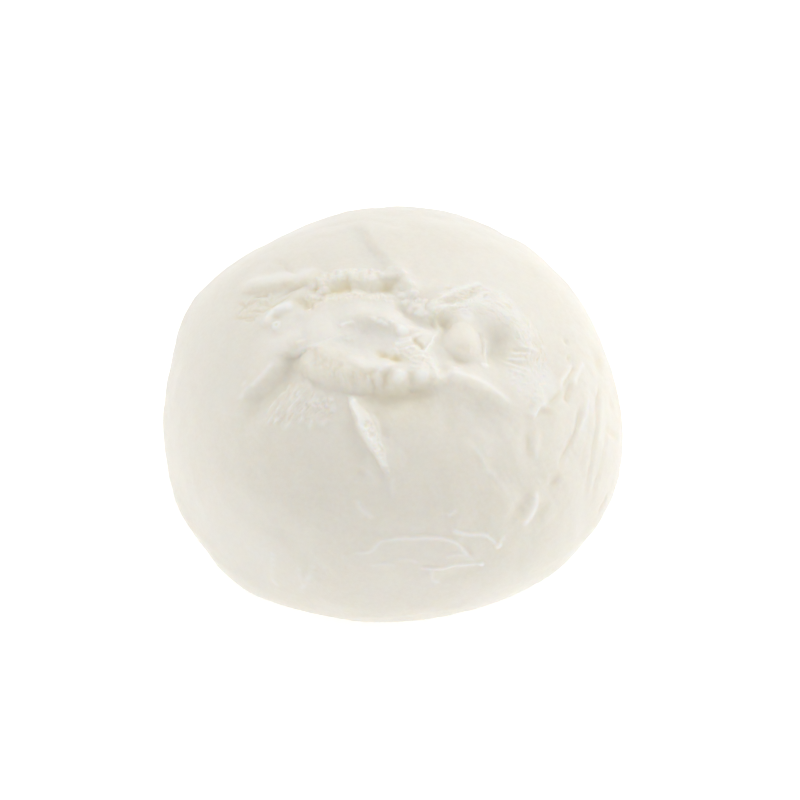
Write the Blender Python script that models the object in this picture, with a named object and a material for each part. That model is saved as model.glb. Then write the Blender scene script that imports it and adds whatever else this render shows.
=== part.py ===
"""A fresh mozzarella ball: one solid, sagging under its own weight, with the torn and folded knot on top
where it was pinched off by hand. Its base is flat where it settles on a table.

The knot is laid out on a map of the crown: (u, v) in millimetres, u to the right and v to the back, each
measured as arc length over the crown from the point straight above the middle.
"""

import bpy
import bmesh
import math
import numpy as np

MM = 0.001
NAME = "mozzarella_ball"

# The body
RADIUS = 34.6           # at the widest level
CROWN = 30.4            # height above the widest level
BELLY = 17.7            # depth of the belly before it settles
SETTLED = 15.6          # height of the widest level above the table
SETTLE_EASE = 0.8       # how softly the belly turns into the flat base
CROWN_POWER = 0.94      # below 1, the upper half is fuller than an ellipse
BELLY_POWER = 0.86      # the same for the lower half
LEAN = (-1.1, -0.6)     # sideways lean of the crown
OVAL = 0.0085           # share by which the ball is wider than deep
LOBES = 0.004           # share of its faint three-cornered unevenness
SQUAT = 0.8             # flattens the body's normals to those of a sphere pressed down
ARC = 34.0              # radius that turns map millimetres into angles

# Broad swells and hollows: azimuth, elevation, spread in degrees, and rise
SWELLS = [
    (16, 11, 16, -1.8),
    (124, 32, 12, -0.6),
    (152, 20, 14, 1.4),
    (-132, -18, 16, 1.4),
    (-159, -14, 12, 1.0),
    (-6, -5, 18, -0.9),
    (71, 35, 14, 0.2),
    (-38, -27, 14, -0.6),
    (-78, -30, 18, -0.4),
]

# The mesh: the icosphere's level, and the zones of the map where it is finer
DETAIL = 5
ZONES = [
    # longest edge, closed outline
    (1.3, [(-26, 8), (-12, 7), (-5, 18), (0, 16), (7, 6), (15, 5), (23, 1), (31, 0), (31, -16), (25, -20),
           (4, -22), (2, -30), (-3, -30), (-8, -21), (-24, -19)]),
    (0.8, [(-17, 3.5), (0, 4.5), (6, 1), (14, 2.5), (19.5, -4), (20, -12), (17, -16.5), (8, -16.5), (-3, -19),
           (-9, -16.5), (-15, -14), (-17.5, -9)]),
]


def smooth(x):
    """0 below 0, 1 above 1, and an easy curve between."""
    x = np.clip(x, 0, 1)
    return x*x*(3 - 2*x)


def map_of(directions):
    """Map position of each unit direction."""
    angle = np.arccos(np.clip(directions[:, 2], -1, 1))
    turn = np.arctan2(directions[:, 1], directions[:, 0])
    return np.stack([angle*np.cos(turn), angle*np.sin(turn)], axis=1)*ARC


def body(directions):
    """Points and outward normals of the plain body, from the middle of the widest level."""
    x, y, z = directions.T
    turn = np.arctan2(y, x)
    upper = z >= 0
    level = np.sqrt(1 - z*z)**np.where(upper, CROWN_POWER, BELLY_POWER)
    reach = RADIUS*level*(1 + OVAL*np.cos(2*turn) + LOBES*np.cos(3*turn))
    lean = np.clip(z, 0, 1)
    points = np.stack([
        reach*np.cos(turn) + LEAN[0]*lean,
        reach*np.sin(turn) + LEAN[1]*lean,
        np.where(upper, CROWN, BELLY)*z,
    ], axis=1)
    normals = directions/[1, 1, SQUAT]
    normals /= np.linalg.norm(normals, axis=1, keepdims=True)
    for azimuth, elevation, spread, rise in SWELLS:
        a, e = math.radians(azimuth), math.radians(elevation)
        centre = [math.cos(e)*math.cos(a), math.cos(e)*math.sin(a), math.sin(e)]
        angle = np.degrees(np.arccos(np.clip(directions @ centre, -1, 1)))
        points += normals*(rise*np.exp(-(angle/spread)**2))[:, None]
    return points, normals


def curve(route, closed=False, per=8):
    """A smooth line through the route's points."""
    p = np.array(route, float)
    if closed:
        p = np.vstack([p[-1], p, p[0], p[1]])
    else:
        p = np.vstack([2*p[0] - p[1], p, 2*p[-1] - p[-2]])
    t = np.linspace(0, 1, per, endpoint=False)[:, None]
    line = []
    for a, b, c, d in zip(p, p[1:], p[2:], p[3:]):
        line.append(b + 0.5*t*(c - a + t*(2*a - 5*b + 4*c - d + t*(3*(b - c) + d - a))))
    if not closed:
        line.append(p[-2:-1])
    return np.vstack(line)


def beside(spots, line):
    """For each spot: signed distance to the line, + on the left of its travel, and its share of the way."""
    nearest = np.full(len(spots), np.inf)
    signed = np.zeros(len(spots))
    share = np.zeros(len(spots))
    steps = np.linalg.norm(line[1:] - line[:-1], axis=1)
    start = np.concatenate([[0], np.cumsum(steps)])
    for a, b, step, along in zip(line, line[1:], steps, start):
        way = (b - a)/step
        off = spots - a
        t = np.clip(off @ way, 0, step)
        gap = np.linalg.norm(off - t[:, None]*way, axis=1)
        near = gap < nearest
        nearest[near] = gap[near]
        left = way[0]*off[:, 1] - way[1]*off[:, 0]
        signed[near] = (np.sign(left)*gap)[near]
        share[near] = ((along + t)/start[-1])[near]
    return signed, share


def inside(spots, line):
    """Distance in from a closed line, negative outside it."""
    ring = np.vstack([line, line[:1]])
    signed, _ = beside(spots, ring)
    crossings = np.zeros(len(spots), int)
    u, v = spots.T
    for a, b in zip(ring, ring[1:]):
        if a[1] != b[1]:
            spans = (v > a[1]) != (v > b[1])
            crossings += spans & (u < a[0] + (v - a[1])*(b[0] - a[0])/(b[1] - a[1]))
    return np.where(crossings % 2 == 1, np.abs(signed), -np.abs(signed))


def taper(share, ends):
    """Grows from 0 over the first end's share of the way, and dies away over the last end's."""
    return smooth(share/ends[0])*smooth((1 - share)/ends[1])


class Relief:
    """Height of the knot above the plain body, at each map spot."""

    def __init__(self, spots):
        self.spots = spots
        self.height = np.zeros(len(spots))

    def ellipse(self, centre, size, turn):
        """Squared distance from the centre, in units of the ellipse's half sizes."""
        a = math.radians(turn)
        u, v = (self.spots - centre).T
        x = (u*math.cos(a) + v*math.sin(a))/size[0]
        y = (v*math.cos(a) - u*math.sin(a))/size[1]
        return x*x + y*y

    def mound(self, centre, size, turn, rise, flat=2):
        """A soft mound, or a hollow where rise is negative. A larger flat gives it a flatter floor."""
        self.height += rise*np.exp(-self.ellipse(centre, size, turn)**(flat/2))

    def lump(self, centre, size, turn, rise):
        """A rounded lump that meets the skin around it at a crease."""
        self.height += rise*np.clip(1 - self.ellipse(centre, size, turn), 0, 1)**0.75

    def paste(self, outline, rise, run, fade=None):
        """A swollen area that rises from its outline and levels off after run.
        fade is (start, way, length): it grows from nothing at start to the full rise after length."""
        x = np.clip(inside(self.spots, curve(outline, closed=True))/run, 0, 1)
        height = rise*(1 - (1 - x)**2)
        if fade:
            start, way, length = fade
            height *= smooth((self.spots - start) @ np.array(way)/length)
        self.height += height

    def fold(self, route, rise, left, right, ends=(0.2, 0.2)):
        """A crest, or a crease where rise is negative, that dies away over left and right."""
        signed, share = beside(self.spots, curve(route))
        width = np.where(signed > 0, left, right)
        self.height += rise*np.exp(-(signed/width)**2)*taper(share, ends)

    def ledge(self, route, rise, run, drop, ends=(0.2, 0.2)):
        """A raised edge: it falls away over run on the left of the route, and over drop on the right."""
        signed, share = beside(self.spots, curve(route))
        back = np.exp(-(np.maximum(signed, 0)/run)**2)
        front = smooth(1 + np.minimum(signed, 0)/drop)
        self.height += rise*back*front*taper(share, ends)


def seam(knot):
    """The seam that climbs the back of the ball, with a valley on its left."""
    knot.ledge([(-3.4, 18.0), (-2.8, 14.9), (-1.6, 11.2), (-0.4, 8.2), (0.8, 5.6), (2.2, 2.8), (3.6, 0.4),
                (5.6, -1.6)], 0.55, 4.2, 1.7, ends=(0.35, 0.15))
    knot.fold([(-5.6, 17.6), (-4.2, 13.6), (-3.0, 10.2), (-2.2, 7.6), (-1.4, 5.4)],
              -0.42, 1.3, 2.8, ends=(0.4, 0.3))


def left_crease(knot):
    """The skin behind the knot rolls over a sunk patch on the left, with a small crest below it."""
    roll = [(-24.4, 7.6), (-21.0, 6.8), (-17.4, 5.2), (-14.4, 4.4), (-11.4, 4.1), (-7.6, 4.9)]
    knot.fold(roll, 0.5, 1.3, 1.2, ends=(0.35, 0.25))
    knot.fold(roll, 0.4, 3.0, 1.5, ends=(0.35, 0.25))
    knot.fold([(-17.4, 4.2), (-14.8, 3.6), (-12.4, 3.3), (-10.4, 3.3)], -0.35, 0.6, 0.8, ends=(0.4, 0.3))
    knot.fold([(-17.0, 9.8), (-15.6, 8.2), (-14.2, 6.6), (-12.2, 4.3)], -0.42, 0.9, 0.6, ends=(0.5, 0.15))
    knot.mound((-27.5, 10.6), (5.0, 4.2), 0, 0.6)
    knot.mound((-19.4, 1.8), (4.0, 2.2), 0, -0.2, flat=3)
    knot.fold([(-17.9, -3.0), (-17.4, -1.7), (-16.5, -0.4), (-15.3, 0.0), (-14.2, -0.3), (-13.2, -0.9)],
              0.5, 0.8, 0.9)
    knot.lump((-16.0, -2.9), (1.0, 0.9), 0, 0.3)
    knot.fold([(-12.0, -1.2), (-12.8, -3.4), (-15.0, -4.8), (-17.6, -4.6)], -0.22, 0.9, 0.9)


def wedge(knot):
    """The wedge pulled open on the left, sharp along its upper side."""
    knot.fold([(-12.6, -8.0), (-12.9, -10.3), (-15.7, -13.0), (-19.8, -15.6), (-21.6, -17.8)],
              -0.86, 2.3, 3.2, ends=(0.05, 0.45))
    knot.mound((-13.5, -9.2), (1.5, 2.7), -28, -0.32, flat=2.6)
    knot.mound((-15.6, -10.8), (1.3, 1.9), -42, -0.3)
    knot.mound((-20.6, -15.2), (1.6, 2.8), -40, -0.45)
    knot.ledge([(-24.0, -13.2), (-21.6, -12.7), (-19.8, -12.0), (-16.9, -9.6), (-14.6, -7.5), (-12.2, -5.9),
                (-11.0, -5.2)], 0.78, 3.0, 2.2, ends=(0.5, 0.2))


def paste(knot):
    """The stretched paste in the middle: a dished swelling with a steep, lumpy front."""
    outline = [(-12.6, -6.6), (-13.0, -5.0), (-11.8, -2.6), (-9.4, -1.1), (-6.0, -0.4), (-2.4, -0.3),
               (0.8, -1.4), (3.6, -4.4), (6.2, -8.0), (7.2, -12.4), (6.2, -14.3), (3.4, -15.5), (0.0, -16.1),
               (-3.1, -16.0), (-6.6, -15.5), (-9.6, -14.0), (-11.3, -12.0), (-12.3, -9.5)]
    knot.paste(outline, 0.75, 3.6, fade=((-12.5, -3.5), (0.5, -0.87), 8))
    knot.ledge([(-12.2, -7.4), (-11.6, -9.2), (-9.8, -10.9), (-7.2, -12.2), (-4.4, -13.4), (-1.6, -14.2),
                (1.2, -14.4), (4.0, -13.9), (8.0, -13.1)], 0.95, 3.4, 2.8, ends=(0.12, 0.1))
    knot.fold([(-12.3, -6.4), (-12.2, -8.0), (-11.9, -9.6), (-10.2, -12.6)], 0.34, 1.0, 0.6, ends=(0.1, 0.5))
    # its far rim, the dish, and its near rim
    knot.fold([(-7.4, -3.8), (-5.2, -3.3), (-2.8, -3.2), (-0.8, -3.8), (1.0, -5.2), (2.2, -6.8)],
              0.7, 1.7, 1.3, ends=(0.4, 0.3))
    knot.mound((-9.5, -6.2), (2.7, 2.7), 0, 0.8)
    knot.mound((-3.1, -7.1), (3.4, 2.1), -8, -0.8)
    knot.mound((-6.0, -8.7), (2.6, 2.1), 0, -0.5)
    knot.mound((3.7, -1.9), (2.6, 1.7), -25, 0.3)
    knot.mound((-3.6, -5.6), (1.5, 1.0), -12, -0.4)
    knot.fold([(-7.4, -10.8), (-5.0, -11.4), (-3.0, -11.4), (-1.4, -12.0), (-0.2, -13.2)],
              0.65, 1.6, 1.6, ends=(0.3, 0.15))
    knot.fold([(-1.3, -9.2), (-0.2, -10.1), (1.0, -10.6), (2.2, -10.7)], -0.6, 0.9, 0.8)
    # lumps and clefts on its front, and shreds between it and the bowl
    for centre, size, turn, rise in [
        ((1.4, -13.8), (1.1, 1.1), 12, 0.38),
        ((4.1, -13.5), (0.95, 1.1), -8, 0.38),
        ((-0.8, -14.2), (0.75, 1.2), 4, -0.4),
        ((3.5, -15.2), (0.9, 0.7), 10, -0.3),
        ((1.6, -6.0), (1.1, 1.0), 0, 0.35),
        ((-0.6, -5.0), (1.2, 0.6), -25, 0.3),
        ((-5.6, -5.0), (0.9, 0.6), 35, 0.3),
        ((3.6, -12.2), (1.0, 0.7), 0, 0.25),
    ]:
        knot.mound(centre, size, turn, rise, flat=2.6)
    for route, rise in [
        ([(2.7, -12.8), (2.8, -13.8), (3.0, -14.8)], -0.3),
        ([(-5.8, -11.8), (-5.8, -13.4), (-6.2, -15.0)], 0.3),
        ([(0.6, -8.1), (2.0, -7.8), (3.4, -7.3)], 0.3),
        ([(3.0, -7.0), (3.9, -8.0), (4.8, -8.9)], -0.4),
        ([(5.8, -5.8), (5.5, -7.4), (4.4, -9.4), (3.7, -9.9)], 0.3),
    ]:
        knot.fold(route, rise, 0.6, 0.6)


def crevice(knot):
    """The crevice behind the paste: a ragged rim over two pits, and the trough that runs on to the bowl."""
    knot.fold([(-9.4, 3.6), (-5.0, 3.4), (-2.9, 3.1), (0.6, 3.3), (1.9, 2.2), (3.0, 0.6), (4.2, -1.0)],
              0.4, 1.5, 0.8)
    knot.fold([(-12.0, 0.6), (-8.2, 1.2), (-5.0, 1.6), (-2.0, 1.1), (-0.2, 1.2), (1.2, 0.5), (2.2, -0.6)],
              -0.48, 0.9, 1.5)
    knot.fold([(0.2, -0.6), (2.0, -2.7), (3.2, -3.8), (4.6, -4.5), (6.2, -4.2)],
              -0.6, 0.9, 0.9, ends=(0.25, 0.1))
    knot.fold([(-8.6, 1.1), (-7.0, 1.4), (-5.8, 1.7), (-4.4, 2.1)], -0.3, 0.6, 0.7)
    for centre, size, rise in [
        ((-0.3, 1.5), (1.1, 0.9), -0.4),
        ((-11.2, 0.0), (1.4, 0.9), -0.5),
        ((-4.0, 1.0), (1.0, 0.8), 0.25),
        ((-9.0, 1.5), (0.8, 0.6), 0.2),
        ((2.2, 0.1), (1.2, 0.7), 0.35),
        ((4.0, -2.0), (1.0, 0.8), 0.2),
    ]:
        knot.mound(centre, size, 0, rise)


def bowl(knot):
    """The bowl on the right: pits, the knob that stands in it, and the hood of drawn skin round it."""
    knot.mound((12.0, -7.0), (5.2, 4.6), -8, -0.5, flat=3)
    knot.fold([(4.6, -2.6), (7.2, -1.5), (10.0, -0.6), (13.0, -0.3), (15.8, -1.2), (18.0, -3.0), (19.4, -5.4),
               (20.2, -8.0), (20.4, -11.0)], 0.65, 3.0, 2.1, ends=(0.12, 0.35))
    knot.fold([(5.2, -1.3), (7.4, 0.2), (9.8, 2.0), (11.3, 2.7), (13.2, 3.1)],
              0.26, 0.8, 0.6, ends=(0.2, 0.25))
    knot.fold([(6.4, -1.6), (7.4, -1.0), (9.8, 0.2), (11.2, 1.8), (13.2, 2.5)],
              -0.42, 0.6, 0.6, ends=(0.2, 0.35))
    knot.fold([(5.2, -2.4), (6.8, -2.1), (8.1, -1.5), (9.4, -0.9)], 0.28, 0.6, 0.5)
    knot.fold([(8.6, -2.9), (7.4, -3.9), (6.9, -5.4), (6.9, -7.2), (7.6, -8.8)],
              -0.32, 0.8, 0.7, ends=(0.2, 0.35))
    knot.fold([(12.6, -4.4), (12.9, -6.4), (13.1, -8.6)], -0.25, 0.5, 0.5)
    for centre, size, turn, rise, flat in [
        # pits, and the hollow on the right
        ((6.8, -4.1), (1.1, 1.4), 20, -0.66, 2),
        ((9.5, -10.2), (1.4, 0.7), 4, -0.45, 2),
        ((14.9, -7.0), (1.8, 3.0), 14, -0.8, 2.8),
        ((14.5, -7.9), (1.2, 1.5), 0, -0.25, 2),
        # knob, and the drop at the foot of the wall beside it
        ((10.0, -6.7), (2.4, 2.7), 0, 0.7, 2.8),
        ((11.2, -6.2), (1.3, 1.9), 0, 0.16, 2),
        ((13.7, -9.8), (0.7, 0.8), 0, 0.3, 2),
    ]:
        knot.mound(centre, size, turn, rise, flat=flat)
    knot.lump((10.1, -6.8), (2.8, 3.0), 0, 0.5)
    for v in (-6.3, -8.2, -9.8):
        knot.fold([(21.0, v), (18.8, v - 0.1), (16.8, v - 0.1)], 0.25, 0.55, 0.55, ends=(0.3, 0.2))


def front_edges(knot):
    """The undercut below the paste, and the lip that carries on to the right."""
    knot.fold([(-5.4, -15.5), (-2.6, -16.2), (1.6, -16.0), (5.2, -15.4), (7.2, -15.0)],
              -0.72, 1.4, 2.8, ends=(0.25, 0.25))
    knot.fold([(4.8, -13.8), (8.1, -13.0), (11.1, -13.4), (13.9, -14.1), (16.4, -15.4), (19.4, -17.0)],
              0.5, 1.5, 1.3, ends=(0.15, 0.7))
    knot.fold([(6.4, -13.4), (10.6, -13.2), (14.6, -14.8), (19.6, -17.8)], 0.95, 2.2, 6.2, ends=(0.2, 0.7))
    knot.fold([(6.4, -16.6), (9.6, -17.2), (13.2, -18.3), (17.0, -20.8)], -0.75, 2.7, 6.5, ends=(0.3, 0.6))
    knot.fold([(10.5, -17), (14.5, -20), (16.5, -25), (16.5, -31)], -0.3, 3.5, 3.0)


def leaf(knot):
    """The narrow leaf of skin that hangs down the front, sharp on its left."""
    knot.ledge([(-5.2, -15.8), (-4.9, -18.2), (-4.1, -21.2), (-2.0, -25.0), (-1.1, -26.6), (-0.4, -29.4)],
               0.8, 1.5, 0.9, ends=(0.06, 0.35))
    knot.fold([(-6.2, -19.4), (-5.9, -21.4), (-4.8, -24.4), (-3.4, -26.6)], -0.22, 1.1, 1.8)
    knot.fold([(-2.6, -18.2), (-1.6, -19.7), (-1.0, -21.4), (-0.6, -23.4)], -0.3, 0.8, 0.6)


def sides(knot):
    """Scars and stretch marks on the right, two threads of curd in front, and shallow creases elsewhere."""
    knot.fold([(28.2, -5.4), (27.0, -8.0), (25.8, -10.8)], 0.25, 0.7, 0.7)
    knot.fold([(30.8, -3.4), (29.4, -6.6), (28.3, -9.4)], 0.25, 0.7, 0.7)
    knot.fold([(28.4, -7.8), (27.8, -10.0), (27.5, -12.6)], -0.45, 0.8, 0.8)
    for centre, size, rise in [
        ((22.6, -31.6), (1.6, 2.4), -0.6),
        ((28.0, -26.2), (1.4, 1.8), -0.35),
        ((27.6, -30.6), (1.4, 1.8), -0.3),
        ((35.2, -0.8), (1.4, 1.8), -0.35),
        ((23.9, -15.3), (1.2, 0.9), -0.25),
    ]:
        knot.mound(centre, size, -25, rise)
    for route, rise, width in [
        ([(24.2, -28.4), (25.6, -30.0), (26.3, -31.6), (24.2, -34.9)], 0.4, 1.1),
        ([(35.6, -3.4), (35.0, -8.5), (35.2, -14.3), (35.8, -21.0)], -0.35, 1.1),
        ([(-6.2, -41.2), (-1.8, -38.9), (4.5, -38.6), (10.0, -38.6), (14.4, -41.6)], 0.3, 1.0),
        ([(4.3, -44.3), (11.7, -43.3), (16.7, -42.7)], 0.3, 1.0),
        ([(-3, 26), (-1, 34), (3, 42), (4, 50)], -0.35, 1.6),
        ([(14, 22), (22, 30), (27, 40)], -0.3, 1.5),
        ([(-20, 22), (-26, 32), (-28, 44)], -0.3, 1.7),
        ([(-34, 10), (-42, 12), (-50, 10)], -0.25, 1.4),
        ([(-44, -6), (-52, -10), (-58, -20)], -0.25, 1.4),
    ]:
        knot.fold(route, rise, width, width)


def pinch(knot):
    """The knot, from the broad gather of the skin down to its lumps."""
    knot.mound((1, -6.5), (17, 12), 0, -0.7)
    for feature in (seam, left_crease, wedge, paste, crevice, bowl, front_edges, leaf, sides):
        feature(knot)


def settle(points):
    """Sets the body down: z is from the table, and what would sink below it is pressed flat."""
    z = points[:, 2] + SETTLED
    e = SETTLE_EASE
    eased = (z + e)**2/(4*e)
    points[:, 2] = np.where(z <= -e, 0, np.where(z < e, eased, z))
    return points


def sphere():
    """A unit icosphere whose triangles are finer in the zones."""
    ball = bmesh.new()
    bmesh.ops.create_icosphere(ball, subdivisions=DETAIL, radius=1)
    for longest, outline in ZONES:
        middles = np.array([(edge.verts[0].co + edge.verts[1].co).normalized() for edge in ball.edges])
        within = inside(map_of(middles), curve(outline, closed=True)) > 0
        chosen = [edge for edge, near in zip(ball.edges, within) if near and edge.calc_length()*ARC > longest]
        bmesh.ops.subdivide_edges(ball, edges=chosen, cuts=1, use_grid_fill=True)
        bmesh.ops.triangulate(ball, faces=[face for face in ball.faces if len(face.verts) > 3])
        for vertex in ball.verts:
            vertex.co.normalize()
    mesh = bpy.data.meshes.new(NAME)
    ball.to_mesh(mesh)
    ball.free()
    return mesh


def cheese():
    """Pale, slightly warm white, with a damp sheen."""
    material = bpy.data.materials.new("fresh_cheese")
    material.use_nodes = True
    surface = material.node_tree.nodes["Principled BSDF"]
    surface.inputs["Base Color"].default_value = (0.87, 0.84, 0.77, 1)
    surface.inputs["Roughness"].default_value = 0.45
    surface.inputs["Subsurface Weight"].default_value = 0.8
    surface.inputs["Subsurface Radius"].default_value = (1.0, 0.8, 0.55)
    surface.inputs["Subsurface Scale"].default_value = 0.0015
    return material


def mozzarella():
    """The ball: every point of the sphere moved out to the body, and on by the knot's height there."""
    mesh = sphere()
    directions = np.array([vertex.co for vertex in mesh.vertices])
    directions /= np.linalg.norm(directions, axis=1, keepdims=True)
    knot = Relief(map_of(directions))
    pinch(knot)
    points, normals = body(directions)
    points = settle(points + normals*knot.height[:, None])
    low, high = points.min(axis=0), points.max(axis=0)
    points[:, :2] -= ((low + high)/2)[:2]
    mesh.vertices.foreach_set("co", (points*MM).ravel())
    mesh.update()
    mesh.materials.append(cheese())
    return bpy.data.objects.new(NAME, mesh)


for old in list(bpy.data.objects):
    bpy.data.objects.remove(old)

collection = bpy.data.collections.new("mozzarella ball")
bpy.context.scene.collection.children.link(collection)
collection.objects.link(mozzarella())
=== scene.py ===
import math

import bmesh
import bpy
import numpy as np
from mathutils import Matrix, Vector


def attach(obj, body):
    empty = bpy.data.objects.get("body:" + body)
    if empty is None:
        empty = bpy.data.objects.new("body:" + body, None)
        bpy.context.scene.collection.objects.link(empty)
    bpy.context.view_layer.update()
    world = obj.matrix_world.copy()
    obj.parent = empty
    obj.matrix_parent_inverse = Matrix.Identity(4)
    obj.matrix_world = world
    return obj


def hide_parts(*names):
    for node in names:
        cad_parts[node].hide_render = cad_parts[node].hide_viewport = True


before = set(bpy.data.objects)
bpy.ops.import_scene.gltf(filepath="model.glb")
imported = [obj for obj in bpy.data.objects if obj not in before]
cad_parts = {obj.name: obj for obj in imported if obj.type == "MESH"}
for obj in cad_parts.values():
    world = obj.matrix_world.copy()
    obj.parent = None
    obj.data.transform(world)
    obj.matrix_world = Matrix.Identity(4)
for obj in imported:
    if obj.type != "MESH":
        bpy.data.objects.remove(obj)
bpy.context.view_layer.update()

MM = 0.001

# The body, as the solid has it, in millimetres
RADIUS = 34.6           # at the widest level
CROWN = 30.4            # height above the widest level
BELLY = 17.7            # depth of the belly before it settles
SETTLED = 15.6          # height of the widest level above the table
SETTLE_EASE = 0.8       # how softly the belly turns into the flat base
CROWN_POWER = 0.94      # below 1, the upper half is fuller than an ellipse
BELLY_POWER = 0.86      # the same for the lower half
LEAN = (-1.1, -0.6)     # sideways lean of the crown
OVAL = 0.0085           # share of the radius that it is wider by, and as much less deep
LOBES = 0.004           # share of its faint three-cornered unevenness
SQUAT = 0.8             # flattens the body's normals to those of a sphere pressed down
ARC = 34.0              # radius that turns map millimetres into angles

# Broad swells and hollows: azimuth, elevation, spread in degrees, and rise
SWELLS = [
    (16, 11, 16, -1.8),
    (124, 32, 12, -0.6),
    (152, 20, 14, 1.4),
    (-132, -18, 16, 1.4),
    (-159, -14, 12, 1.0),
    (-6, -5, 18, -0.9),
    (71, 35, 14, 0.2),
    (-38, -27, 14, -0.6),
    (-78, -30, 18, -0.4),
]

# The mesh: the icosphere's level, and the zones of the map where it is finer
DETAIL = 6
ZONES = [
    # longest edge in millimetres, closed outline
    (0.8, [(-40, 20), (-18, 26), (4, 28), (24, 20), (44, 14), (58, -8), (56, -34), (40, -52), (10, -60),
           (-20, -58), (-44, -44), (-52, -20)]),
    (0.42, [(-26, 8), (-16, 9), (-5, 18), (1, 16), (6, 7), (16, 6), (24, 2), (33, 0), (34, -14), (28, -36),
            (18, -46), (4, -49), (-12, -46), (-14, -36), (-9, -24), (-22, -22), (-27, -14), (-26, -2)]),
    (0.21, [(-24, 5.4), (-12, 4.6), (-6, 5.2), (1, 5), (5, 0.6), (9, 1.8), (14, 4.2), (19, 1.6), (23, -4),
            (23.4, -12), (20, -17.5), (9, -18), (4, -19.5), (1.5, -28), (-1.5, -28), (-5, -20.5),
            (-9, -19.5), (-19, -18.5), (-23, -16), (-19, -10), (-18, -4), (-22, 0)]),
]
SOLE = 0.98             # the relief begins this far below the middle of the unit sphere
SOLE_EASE = 0.25        # and is full this much higher

# Colours: the skin's two tones and specks, curd white that is also painted highlight on crests, and whey that
# is also painted shade in hollows
CREAM = (0.838, 0.802, 0.716, 1)
MILK = (0.857, 0.826, 0.756, 1)
SPECK = (0.90, 0.875, 0.81, 1)
# curd white, also used as painted highlight on crests
CURD_AND_HIGHLIGHT = (0.935, 0.925, 0.905, 1)
# whey tint, also used as painted shade in creases and pits
WHEY_AND_SHADE = (0.82, 0.73, 0.48, 1)

# The room: a white table, white light from all around, and soft lamps. Lengths are in metres.
WHITE = (1, 1, 1, 1)
TABLE = (0.9, 0.9, 0.9, 1)
TABLE_GLOW = 0.38
SKY_GLOW = 0.35
LAMP_SIZE = 0.5
LAMP_AIM = (0, 0, 0.02)
LAMPS = [
    # name, place, watts
    ("key", (0.35, 0.45, 0.55), 1.9),
    ("back", (-0.40, 0.45, 0.43), 0.6),
    ("right", (0.75, -0.10, 0.30), 1.2),
    ("left", (-0.75, -0.10, 0.30), 1.1),
    ("top", (0, 0, 0.8), 0.95),
    ("front", (0, -0.5, 0.6), 0.75),
]

# The camera
TILT = 50               # degrees that it looks down
DISTANCE = 0.55         # metres
AIM = (1.0, 3.7)        # millimetres right and up in the picture, from the middle of the widest level
LENS = 165              # millimetres
SENSOR = 36             # millimetres


# ---- shape helpers
#
# The relief is laid out on a map of the ball: (u, v) in millimetres, u to the right and v to the back,
# each measured as arc length over the ball from the point straight above its middle.

def smooth(x):
    """0 below 0, 1 above 1, and an easy curve between."""
    x = np.clip(x, 0, 1)
    return x*x*(3 - 2*x)


def noise(p, seed):
    """Gradient noise at each point, 2-D or 3-D, about -1 to 1."""
    size = p.shape[1]
    draw = np.random.default_rng(seed)
    arrows = draw.normal(size=(256, size))
    arrows /= np.linalg.norm(arrows, axis=1, keepdims=True)
    order = draw.permutation(256)
    cell = np.floor(p).astype(int)
    part = p - cell
    ease = part**3*(part*(part*6 - 15) + 10)
    total = np.zeros(len(p))
    for corner in range(2**size):
        step = np.array([(corner >> k) & 1 for k in range(size)])
        index = np.zeros(len(p), int)
        for k in range(size):
            index = order[(index + cell[:, k] + step[k]) % 256]
        weight = np.prod(np.where(step == 1, ease, 1 - ease), axis=1)
        total += weight*np.sum(arrows[index]*(part - step), axis=1)
    return total*1.6


def map_of(directions):
    """Map position of each unit direction."""
    angle = np.arccos(np.clip(directions[:, 2], -1, 1))
    turn = np.arctan2(directions[:, 1], directions[:, 0])
    return np.stack([angle*np.cos(turn), angle*np.sin(turn)], axis=1)*ARC


def directions_of(spots):
    """Unit direction of each map position."""
    reach = np.linalg.norm(spots, axis=1)
    angle = reach/ARC
    way = spots/np.maximum(reach, 1e-9)[:, None]
    return np.column_stack([way*np.sin(angle)[:, None], np.cos(angle)])


def body(directions):
    """Points and outward normals of the plain body, from the middle of the widest level."""
    x, y, z = directions.T
    turn = np.arctan2(y, x)
    upper = z >= 0
    level = np.sqrt(np.clip(1 - z*z, 0, 1))**np.where(upper, CROWN_POWER, BELLY_POWER)
    reach = RADIUS*level*(1 + OVAL*np.cos(2*turn) + LOBES*np.cos(3*turn))
    lean = np.clip(z, 0, 1)
    points = np.stack([
        reach*np.cos(turn) + LEAN[0]*lean,
        reach*np.sin(turn) + LEAN[1]*lean,
        np.where(upper, CROWN, BELLY)*z,
    ], axis=1)
    normals = directions/[1, 1, SQUAT]
    normals /= np.linalg.norm(normals, axis=1, keepdims=True)
    for azimuth, elevation, spread, rise in SWELLS:
        a, e = math.radians(azimuth), math.radians(elevation)
        centre = [math.cos(e)*math.cos(a), math.cos(e)*math.sin(a), math.sin(e)]
        angle = np.degrees(np.arccos(np.clip(directions @ centre, -1, 1)))
        points += normals*(rise*np.exp(-(angle/spread)**2))[:, None]
    return points, normals


def curve(route, closed=False, per=8):
    """A smooth line through the route's points, with per steps from each to the next."""
    p = np.array(route, float)
    if closed:
        p = np.vstack([p[-1], p, p[0], p[1]])
    else:
        p = np.vstack([2*p[0] - p[1], p, 2*p[-1] - p[-2]])
    t = np.linspace(0, 1, per, endpoint=False)[:, None]
    line = []
    for a, b, c, d in zip(p, p[1:], p[2:], p[3:]):
        line.append(b + 0.5*t*(c - a + t*(2*a - 5*b + 4*c - d + t*(3*(b - c) + d - a))))
    if not closed:
        line.append(p[-2:-1])
    return np.vstack(line)


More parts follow.
